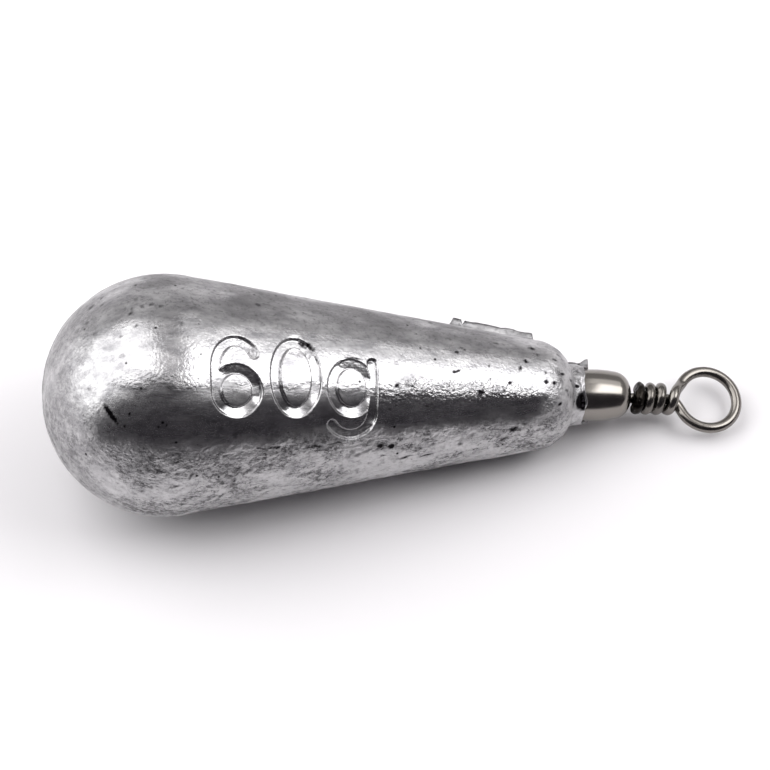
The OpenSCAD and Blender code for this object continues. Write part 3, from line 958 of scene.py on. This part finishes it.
# Bright plated wire: a warm grey mirror with a finer haze, black and matter where it is sooty and
# painted with shade, but for a few bright flecks.
material, tree, output = new_material("bright plated wire")
coord = add(tree, "ShaderNodeTexCoord").outputs["Object"]
soot_and_shade_here = add(tree, "ShaderNodeAttribute", attribute_name="soot_and_shade").outputs["Fac"]
haze, flecks = [
    add(tree, "ShaderNodeTexNoise", {
        "Vector": coord, "Scale": per(size), "Detail": detail,
    }).outputs["Fac"]
    for size, detail in ((0.5, 5.0), (0.22, 3.0))
]
gloss = add(tree, "ShaderNodeMapRange", {
    "Value": haze, "To Min": 0.14, "To Max": 0.3,
}).outputs["Result"]
gloss = add(tree, "ShaderNodeMath", {
    0: soot_and_shade_here, 1: 0.1, 2: gloss,
}, operation="MULTIPLY_ADD").outputs[0]
between = add(tree, "ShaderNodeMapRange", {
    "Value": flecks, "From Min": 0.74, "From Max": 0.62, "To Max": 0.97,
}).outputs["Result"]
# The dark of the wraps: soot and painted shade on the last wrap, painted shade on the rest.
dark_soot_and_shade = add(tree, "ShaderNodeMath", {0: soot_and_shade_here, 1: between}, operation="MULTIPLY").outputs[0]
tone = linear("#6f6b67")
for amount, colour in ((haze, "#8e8a85"), (dark_soot_and_shade, "#1d1a17")):
    tone = add(tree, "ShaderNodeMix", {
        0: amount, 6: tone, 7: linear(colour),
    }, data_type="RGBA").outputs[2]
shader = add(tree, "ShaderNodeBsdfPrincipled", {
    "Base Color": tone,
    "Metallic": 1.0,
    "Roughness": gloss,
})
tree.links.new(shader.outputs["BSDF"], output.inputs["Surface"])
eye.data.materials.append(material)

# The anchor eye: the like eye of the same wire that holds the swivel inside the lead. It can't be
# seen, so the CAD's own solid stays, in the wire's finish.
anchor = frame["nodes"]["anchor_eye"]
anchor.data.materials.clear()
anchor.data.materials.append(material)

# The table and the light: a white table, a large softbox low on the left, and on the right a
# brighter one overhead with a weak reflector behind it. The room in front is dark, and the metal
# mirrors it as a dark band.
bpy.ops.mesh.primitive_plane_add(size=3.0, location=(0, 1.45, 0))
table = bpy.context.object
table.name = "white_table"

# White card: matt, and a shade under white, so that the shadow shows and fades out.
material, tree, output = new_material("white card")
shader = add(tree, "ShaderNodeBsdfPrincipled", {"Base Color": linear("#eeecee"), "Roughness": 0.9})
tree.links.new(shader.outputs["BSDF"], output.inputs["Surface"])
table.data.materials.append(material)


def soft_light(name, middle, facing, width, height, turn, radiance):
    """A rectangular lamp of even brightness, turned on its own axis by degrees.

    A mirror would show its radiance, so its power is pi times that, times its area.
    """
    lamp = bpy.data.lights.new(name, "AREA")
    lamp.shape = "RECTANGLE"
    lamp.size = width
    lamp.size_y = height
    lamp.energy = radiance * np.pi * width * height
    thing = bpy.data.objects.new(name, lamp)
    thing.location = middle
    away = Vector(middle) - Vector(facing)
    thing.rotation_mode = "QUATERNION"
    thing.rotation_quaternion = (
        away.to_track_quat("Z", "Y") @ Quaternion((0, 0, 1), np.radians(turn))
    )
    thing.visible_camera = False
    bpy.context.scene.collection.objects.link(thing)


soft_light("right_softbox", (0.48, 0.005, 0.5), (0.48, 0.005, 0.0), 0.49, 0.4, -10, 4.3)
soft_light("right_reflector", (0.46, 0.44, 0.5), (0.46, 0.44, 0.0), 0.49, 0.4, -6, 1.2)
soft_light("left_softbox", (-0.44, 0.135, 0.25), (0.0, 0.135, -0.646), 0.53, 0.88, 8, 2.05)

# The room that the metal mirrors: grey walls, paler high up, white on the left and dark in front.
# The camera itself sees plain white.
world = bpy.data.worlds.new("studio")
bpy.context.scene.world = world
world.use_nodes = True
tree = world.node_tree
tree.nodes.clear()
output = tree.nodes.new("ShaderNodeOutputWorld")
direction = add(tree, "ShaderNodeTexCoord").outputs["Generated"]
split = add(tree, "ShaderNodeSeparateXYZ", {"Vector": direction}).outputs
room = linear("#b4b2b3")
for side, start, stop, colour in (
    ("Z", 0.7, 0.88, "#ebe9ea"),
    ("X", -0.5, -0.8, "#ffffff"),
    ("Y", -0.22, -0.32, "#403d42"),
):
    amount = add(tree, "ShaderNodeMapRange", {
        "Value": split[side], "From Min": start, "From Max": stop,
    }, interpolation_type="SMOOTHSTEP").outputs["Result"]
    room = add(tree, "ShaderNodeMix", {
        0: amount, 6: room, 7: linear(colour),
    }, data_type="RGBA").outputs[2]
ray = add(tree, "ShaderNodeLightPath").outputs["Is Camera Ray"]
seen = add(tree, "ShaderNodeMix", {0: ray, 6: room, 7: linear("#ffffff")}, data_type="RGBA")
background = add(tree, "ShaderNodeBackground", {"Color": seen.outputs[2], "Strength": 1.0})
tree.links.new(background.outputs["Background"], output.inputs["Surface"])

# The camera: it looks down on the table from the front, turned a little so that the long axis
# lies level across the picture, and aims at a place on the axis, and a little over it.
CAMERA_HEIGHT = np.radians(62)
PICTURE_WIDTH = 56.5
LENS = 180
SENSOR_WIDTH = 36
AIM_S = 16.4
AIM_OVER = 0.72
camera_turn = -np.arcsin(np.tan(cone_angle) / np.tan(CAMERA_HEIGHT))
back = Vector((
    float(np.cos(CAMERA_HEIGHT) * np.sin(camera_turn)),
    float(-np.cos(CAMERA_HEIGHT) * np.cos(camera_turn)),
    float(np.sin(CAMERA_HEIGHT)),
))
camera = bpy.data.cameras.new("camera")
camera.lens = LENS
camera.sensor_width = SENSOR_WIDTH
camera.clip_start = 0.01
stand = bpy.data.objects.new("camera", camera)
bpy.context.scene.collection.objects.link(stand)
bpy.context.scene.camera = stand
turned = back.to_track_quat("Z", "Y")
aim = Vector(place(np.array([AIM_S, 0.0, 0.0]))) + turned @ Vector((0, AIM_OVER * MM, 0))
stand.location = aim + back * (PICTURE_WIDTH * MM / SENSOR_WIDTH * LENS)
stand.rotation_mode = "QUATERNION"
stand.rotation_quaternion = turned

bpy.context.scene.view_settings.view_transform = "Standard"
